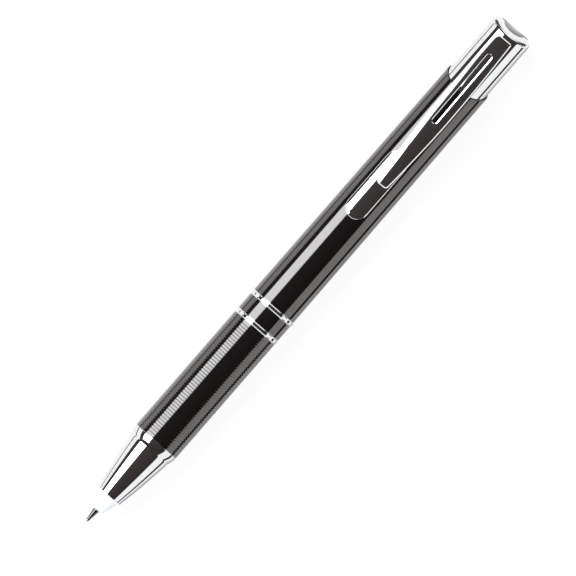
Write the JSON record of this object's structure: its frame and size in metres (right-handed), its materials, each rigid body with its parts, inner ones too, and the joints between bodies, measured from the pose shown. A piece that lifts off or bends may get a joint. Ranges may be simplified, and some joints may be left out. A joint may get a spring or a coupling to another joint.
{
  "type": "light-up pen",
  "caption": "Metal click ballpoint with a lit clear tip, ribbed grip, chrome nose and rings, and a slanted push button that carries a slotted pocket clip.",
  "frame": {"origin": "middle of the pen's length, at the lowest line of its two rings, on which it lies", "axes": "+X from the writing point to the push button, +Z towards the pocket clip, +Y across the pen"},
  "size_m": [0.137, 0.0112, 0.0141],
  "materials": {
    "chrome": "bright polished plate",
    "gunmetal": "dark polished metallic",
    "frosted_lens": "frosted clear plastic, lit from inside",
    "nickel_silver": "turned bright metal",
    "brass": "plain turned brass",
    "steel": "bright spring steel and cell cans",
    "board": "green circuit board",
    "lamp": "small lamp, lit",
    "white_plastic": "moulded plastic",
    "black_plastic": "moulded plastic"
  },
  "bodies": {
    "barrel": {"lens_tip": "frosted_lens", "lamp_1": "lamp", "lamp_2": "lamp", "lamp_board": "board", "contact_washer": "brass", "return_spring": "steel", "nose_cone": "chrome", "grip_barrel": "gunmetal", "coupler": "brass", "lower_ring": "chrome", "centre_band": "gunmetal", "upper_ring": "chrome", "upper_barrel": "gunmetal", "guide_plate": "chrome", "switch_spring": "steel", "cam_sleeve": "white_plastic"},
    "plunger": {"plunger_cap": "chrome", "plunger_core": "white_plastic", "pusher": "white_plastic", "pocket_clip": "chrome"},
    "refill": {"writing_ball": "steel", "refill_point": "nickel_silver", "refill_tube": "brass", "spring_collar": "brass", "refill_socket": "white_plastic", "contact_pin": "brass", "button_cell_1": "steel", "button_cell_2": "steel", "button_cell_3": "steel", "battery_spring": "steel", "battery_can": "brass"},
    "rotor": {"cam_rotor": "black_plastic"}
  },
  "joints": [
    {"name": "plunger_slide", "type": "slide", "parent": "barrel", "child": "plunger", "axis": [1, 0, 0], "range_m": [-0.0013, 0.0055]},
    {"name": "refill_slide", "type": "slide", "parent": "barrel", "child": "refill", "axis": [1, 0, 0], "range_m": [-0.0013, 0.0055], "deforming": ["return_spring", "switch_spring"]},
    {"name": "rotor_turn", "type": "hinge", "parent": "refill", "child": "rotor", "pos_m": [0.02417, 0, 0.00556], "axis": [1, 0, 0], "continuous": true}
  ],
  "couplings": [
    {"joint": "refill_slide", "follows": "plunger_slide", "ratio": 1}
  ]
}
